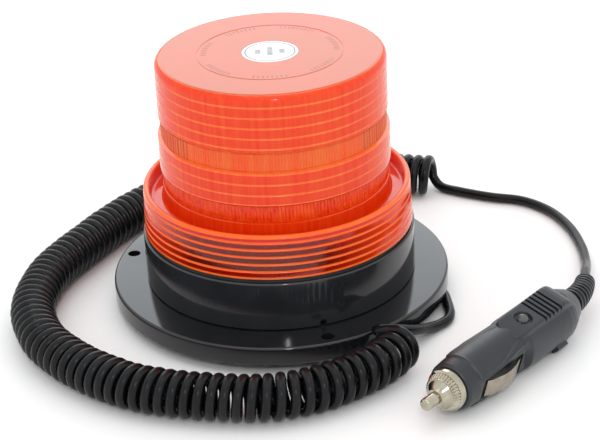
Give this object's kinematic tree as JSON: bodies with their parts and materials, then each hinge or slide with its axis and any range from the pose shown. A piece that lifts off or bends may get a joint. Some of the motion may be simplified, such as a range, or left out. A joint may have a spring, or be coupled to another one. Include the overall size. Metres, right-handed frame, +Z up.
{
  "type": "led warning beacon",
  "caption": "Amber LED warning beacon: ringed lens on a black housing and round magnetic base, with a curly cord and a 12 volt lighter plug.",
  "frame": {"origin": "on the floor under the beacon's own axis, at the middle of the foot's underside", "axes": "+Z up along the beacon's axis, +X to the right and -Y toward the side where the plug lies"},
  "size_m": [0.2523, 0.2313, 0.112],
  "materials": {
    "disc_plastic": "gloss moulded ABS",
    "foot_rubber": "matt",
    "ferrite": "sintered",
    "plated_steel": "zinc plated",
    "screw_steel": "zinc plated",
    "housing_plastic": "gloss moulded ABS",
    "seal_rubber": "matt",
    "white_plastic": "moulded",
    "amber_plastic": "clear amber polycarbonate, gloss",
    "label_film": "printed film",
    "tower_aluminium": "satin",
    "white_board": "solder resist",
    "led_resin": "phosphor resin",
    "green_board": "solder resist",
    "standoff_brass": "turned",
    "capacitor_sleeve": "shrink sleeve",
    "copper_wire": "enamelled copper",
    "chip_plastic": "moulded epoxy",
    "terminal_plastic": "moulded nylon",
    "cord_jacket": "satin PVC jacket",
    "plug_plastic": "satin ABS",
    "carrier_plastic": "moulded",
    "fuse_tube": "clear glass",
    "nickel_plate": "bright nickel plate",
    "spring_steel": "drawn wire",
    "contact_plate": "nickel-plated spring strip",
    "indicator_plastic": "clear",
    "boot_rubber": "satin PVC"
  },
  "bodies": {
    "base": {"base_disc": "disc_plastic", "foot_pad": "foot_rubber", "ring_magnet": "ferrite", "pole_plate": "plated_steel", "base_screws": "screw_steel", "cord_grommet": "foot_rubber", "lead_base": "cord_jacket", "cord_coil": "cord_jacket", "lead_plug": "cord_jacket", "cable_boot": "boot_rubber", "plug_shell_upper": "plug_plastic", "plug_shell_lower": "plug_plastic", "plug_screw": "screw_steel", "contact_carrier": "carrier_plastic", "fuse_glass": "fuse_tube", "fuse_caps": "nickel_plate", "pin_spring": "spring_steel", "indicator_board": "green_board", "indicator_lens": "indicator_plastic"},
    "head": {"housing": "housing_plastic", "floor_grommet": "foot_rubber", "locking_screw": "screw_steel", "lens_seal": "seal_rubber", "carrier_plate": "white_plastic", "lens_screws": "screw_steel", "amber_lens": "amber_plastic", "rating_label": "label_film", "led_tower": "tower_aluminium", "led_boards": "white_board", "side_leds": "led_resin", "tower_cap": "white_board", "top_leds": "led_resin", "tower_screws": "screw_steel", "control_board": "green_board", "standoffs": "standoff_brass", "board_screws": "screw_steel", "capacitors": "capacitor_sleeve", "inductor": "copper_wire", "transistors": "chip_plastic", "driver_chips": "chip_plastic", "terminal_block": "terminal_plastic"},
    "nose_cap": {"nose_cap": "nickel_plate"},
    "pin": {"centre_pin": "nickel_plate"},
    "left_contact": {"side_contact_left": "contact_plate"},
    "right_contact": {"side_contact_right": "contact_plate"}
  },
  "joints": [
    {"name": "head_twist", "type": "hinge", "parent": "base", "child": "head", "pos_m": [0, 0, 0.0128], "axis": [0, 0, 1], "range_deg": [0, 30]},
    {"name": "nose_cap_turn", "type": "hinge", "parent": "base", "child": "nose_cap", "pos_m": [0.0514, -0.1191, 0.01165], "axis": [0.6769, 0.7361, 0], "continuous": true},
    {"name": "centre_pin_push", "type": "slide", "parent": "nose_cap", "child": "pin", "axis": [0.6769, 0.7361, 0], "range_m": [0, 0.003], "stiffness_N_per_m": 900, "springref_m": -0.002},
    {"name": "left_contact_push", "type": "slide", "parent": "base", "child": "left_contact", "axis": [0.711, -0.6538, -0.2588], "range_m": [0, 0.0012], "stiffness_N_per_m": 1500, "springref_m": -0.0005},
    {"name": "right_contact_push", "type": "slide", "parent": "base", "child": "right_contact", "axis": [-0.711, 0.6538, 0.2588], "range_m": [0, 0.0012], "stiffness_N_per_m": 1500, "springref_m": -0.0005}
  ]
}
